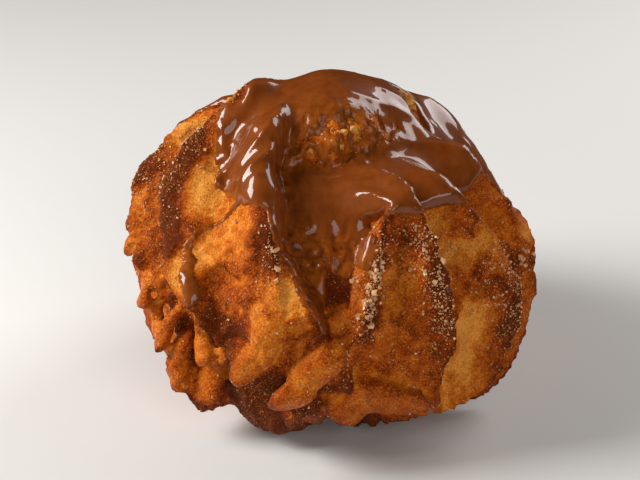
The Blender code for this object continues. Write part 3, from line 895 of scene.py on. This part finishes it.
# Milk chocolate under a clear gloss that fades where it is a film. There the wet crust shows through
# dark, and amber streaks show through the thinnest of it.
CHOCOLATE_STOPS = [(0.3, (0.135, 0.026, 0.003)), (0.7, (0.215, 0.051, 0.008))]
WET_CRUST_STOPS = [(0.35, (0.105, 0.018, 0.002)), (0.65, (0.31, 0.070, 0.006))]
AMBER = (0.36, 0.092, 0.008, 1)
chocolate, shader, base = new_material("milk_chocolate_glaze", Coat_Roughness=0.07, Roughness=0.4,
                                       Specular_IOR_Level=0.10, Specular_Tint=(1.0, 0.6, 0.3, 1))
film = measure(base, "thin")
swirl = 0.5 * speckle(base, 6.0, detail=2.0) + 0.5 * speckle(base, 1.0, detail=3.0, stretch=(1, 1, 0.3))
colour = base.node("ValToRGB", {"stops": CHOCOLATE_STOPS}, {"Fac": swirl})
crust_grain = speckle(base, 0.8, detail=4.0, stretch=(1, 1, 0.4))
wet_crust = base.node("ValToRGB", {"stops": WET_CRUST_STOPS}, {"Fac": crust_grain})
colour = (0.9 * film).held().over(wet_crust, colour)
streaks = (5 * (speckle(base, 0.6, detail=3.0, stretch=(1, 1, 0.35)) - 0.38)).held()
colour = (measure(base, "amber") * (0.12 + 0.55 * streaks)).held().over(AMBER, colour)
coat = (0.75 - 0.50 * film).held()
height = speckle(base, 2.5, detail=2.0)
bump = base.node("Bump", {}, {"Height": height, "Strength": 0.15, "Distance": 0.3 * MM})
feed(shader, base, Base_Color=colour, Coat_Weight=coat, Normal=bump)
poured.materials.append(chocolate)
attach(glaze, "root")
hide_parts("chocolate_glaze")

# ---------------------------------------------------------------------------------------------------
# Coarse sugar and pastry crumbs. The sugar was strewn on the wet paste before baking and the crystals
# sit partly sunk in the crust; the crumbs broke off the torn edges and stuck where they fell.
# ---------------------------------------------------------------------------------------------------
# Where the coarse crystals lie, where the finer sugar lies, and where the crumbs lie.
COARSE = [
    (-18, 80, 2, 6, 0.9), (-17, 89, 2, 4, 1.0), (14, 91, 2, 5, 1.0), (12, 98, 2, 5, 1.3),
    (12, 105, 2, 4, 1.2), (11, 110, 2, 2, 0.8), (23, 91, 2, 5, 0.4), (-50, 60, 3, 10, 0.10),
    (66, 93, 2, 3, 0.8), (-60, 96, 2, 2, 1.0), (150, 80, 20, 20, 0.05), (220, 80, 20, 20, 0.05),
]
DUSTED = [
    (-50, 52, 3, 8, 0.6), (-51, 64, 3, 8, 0.6), (-50, 74, 3, 7, 0.5), (-70, 52, 5, 8, 0.5),
    (-72, 70, 4, 12, 0.6), (-18, 84, 3, 9, 1.2), (14, 88, 3, 8, 1.3), (13, 102, 3, 9, 1.5),
    (22, 84, 3, 7, 1.2), (25, 94, 2, 8, 1.6), (27, 104, 2, 7, 1.2), (49, 89, 3, 6, 1.1),
    (52, 97, 4, 6, 1.2), (56, 106, 4, 6, 0.8), (8, 85, 4, 5, 0.6), (38, 88, 4, 8, 0.5),
    (10, 118, 14, 10, 0.2), (64, 95, 4, 8, 0.6), (120, 80, 30, 25, 0.3), (200, 85, 40, 25, 0.3),
    (-120, 85, 25, 25, 0.3),
]
CRUMBED = [
    (-44, 40, 3, 3, 1.0), (-52, 38, 5, 4, 0.6), (-41, 112, 2, 2, 0.3), (62, 24, 8, 5, 0.9),
    (74, 30, 6, 5, 0.6), (4, 44, 8, 4, 0.5),
]

# Each kind of grain has an amount, its smallest and largest size in mm, an even share that lies
# anywhere on the bare crust, and how far it is sunk into the crust as a share of its size.
Grains = namedtuple("Grains", "name places amount smallest largest even sunk seed")
SUGAR = [
    Grains("sugar_crystals", COARSE, 110, 0.32, 0.58, 0.0, 0.25, 41),
    Grains("sugar_grains", DUSTED, 2600, 0.13, 0.27, 0.005, 0.25, 42),
    Grains("sugar_dust", DUSTED, 8000, 0.07, 0.13, 0.08, 0.25, 43),
]
CRUMBS = Grains("pastry_crumbs", CRUMBED, 110, 0.22, 0.8, 0.0, 0.3, 51)
LOWEST_GRAIN, CLEAR_OF_GLAZE, CLUMPED = 1.5, 0.2, 1.6
CUBE = np.array([(x, y, z) for x in (-1, 1) for y in (-1, 1) for z in (-1, 1)]) / 2
CUBE_FACES = [(0, 1, 3, 2), (4, 6, 7, 5), (0, 4, 5, 1), (2, 3, 7, 6), (0, 2, 6, 4), (1, 5, 7, 3)]


def strewn(grains, material):
    """One piece made of many angular grains, which lie thickest in their places."""
    chance = np.random.default_rng(grains.seed)
    amount = grains.amount
    weight = np.clip(patches(grains.places, bun_turn, bun_fall), 0, None) + grains.even
    weight = weight * (bun_points[:, 2] > LOWEST_GRAIN)
    weight = weight * np.exp(CLUMPED * grain(bun_points, 1.6, seed=grains.seed, octaves=2))
    weight = weight * (bun_cover < -CLEAR_OF_GLAZE)
    at_face = weight[bun_quads[:, 0]]
    chosen = chance.choice(len(bun_quads), amount, p=at_face / at_face.sum())
    share = chance.dirichlet((1, 1, 1, 1), amount)[..., None]
    size = grains.smallest + (grains.largest - grains.smallest) * chance.random(amount) ** 2
    corners = CUBE * (1 + 0.35 * chance.standard_normal((amount, 8, 3)).clip(-1, 1))
    corners = corners * (size[:, None] * (1, 1, 0.8) * (0.75 + 0.5 * chance.random((amount, 3))))[:, None]
    spin = np.linalg.qr(chance.standard_normal((amount, 3, 3)))[0]
    spin[np.linalg.det(spin) < 0, 0] *= -1
    middle = (bun_points[bun_quads[chosen]] * share).sum(axis=1)
    outward = (baked_normals[bun_quads[chosen]] * share).sum(axis=1)
    middle = middle + outward * (size * (0.5 - grains.sunk))[:, None]
    points = np.einsum("nij,nkj->nki", spin, corners) + middle[:, None]
    faces = (np.array(CUBE_FACES)[None] + 8 * np.arange(amount)[:, None, None]).reshape(-1, 4)
    mesh = new_mesh(grains.name, points.reshape(-1, 3) * MM, faces.tolist())
    mesh.materials.append(material)
    piece = new_object(grains.name, mesh)
    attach(piece, "root")


baked_normals = mesh_normals(baked)
bun_quads = np.array(corner_lists)
SUGAR_STOPS = [(0.3, (0.50, 0.21, 0.07)), (0.7, (0.72, 0.44, 0.22))]
sugar, shader, base = new_material("pearl_sugar", Roughness=0.28, Specular_IOR_Level=0.5)
feed(shader, base, Base_Color=base.node("ValToRGB", {"stops": SUGAR_STOPS}, {"Fac": speckle(base, 1.5)}))
for grains in SUGAR:
    strewn(grains, sugar)

CRUMB_STOPS = [(0.3, (0.46, 0.13, 0.015)), (0.7, (0.75, 0.38, 0.08))]
crumb_crust, shader, base = new_material("pastry_crumb", Roughness=0.7, Specular_IOR_Level=0.2)
feed(shader, base, Base_Color=base.node("ValToRGB", {"stops": CRUMB_STOPS}, {"Fac": speckle(base, 1.5)}))
strewn(CRUMBS, crumb_crust)

# ---------------------------------------------------------------------------------------------------
# The studio: a sheet of pale paper, a soft key light from the left, a rim light from behind on the
# right, a fill light from the front, and a camera looking down at the bun from the front.
# ---------------------------------------------------------------------------------------------------
PAPER_REACH = 3.0
corners = [(-1, -1, 0), (1, -1, 0), (1, 1, 0), (-1, 1, 0)]
floor = new_object("floor", new_mesh("floor", PAPER_REACH * np.array(corners), [(0, 1, 2, 3)]))
paper, shader, base = new_material("pale_floor", Base_Color=(0.68, 0.66, 0.63, 1), Roughness=0.9,
                                   Specular_IOR_Level=0.1)
floor.data.materials.append(paper)


def aim(thing, place, target):
    thing.location = place
    thing.rotation_euler = (Vector(place) - Vector(target)).to_track_quat("Z", "Y").to_euler()
    bpy.context.scene.collection.objects.link(thing)


Lamp = namedtuple("Lamp", "name place size power")
LAMPS = [
    Lamp("key", (-0.26, -0.03, 0.21), 0.16, 1.55),
    Lamp("rim", (0.20, 0.16, 0.18), 0.17, 0.55),
    Lamp("fill", (0.12, -0.34, 0.18), 0.22, 0.55),
]
LIT_PLACE = (0, 0, 0.02)
for lamp in LAMPS:
    light = bpy.data.lights.new(lamp.name, "AREA")
    light.size, light.energy = lamp.size, lamp.power
    aim(bpy.data.objects.new(lamp.name, light), lamp.place, LIT_PLACE)
ROOM_LIGHT = 0.08
world = bpy.data.worlds.new("studio")
world.use_nodes = True
world.node_tree.nodes["Background"].inputs["Strength"].default_value = ROOM_LIGHT
bpy.context.scene.world = world
bpy.context.scene.view_settings.view_transform = "Standard"

ELEVATION, DISTANCE, TARGET = math.radians(26), 0.240, Vector((-0.0014, 0, 0.0199))
view = bpy.data.cameras.new("camera")
view.lens, view.sensor_width, view.clip_start = 100, 36, 0.01
camera = bpy.data.objects.new("camera", view)
aim(camera, TARGET + DISTANCE * Vector((0, -math.cos(ELEVATION), math.sin(ELEVATION))), TARGET)
bpy.context.scene.camera = camera
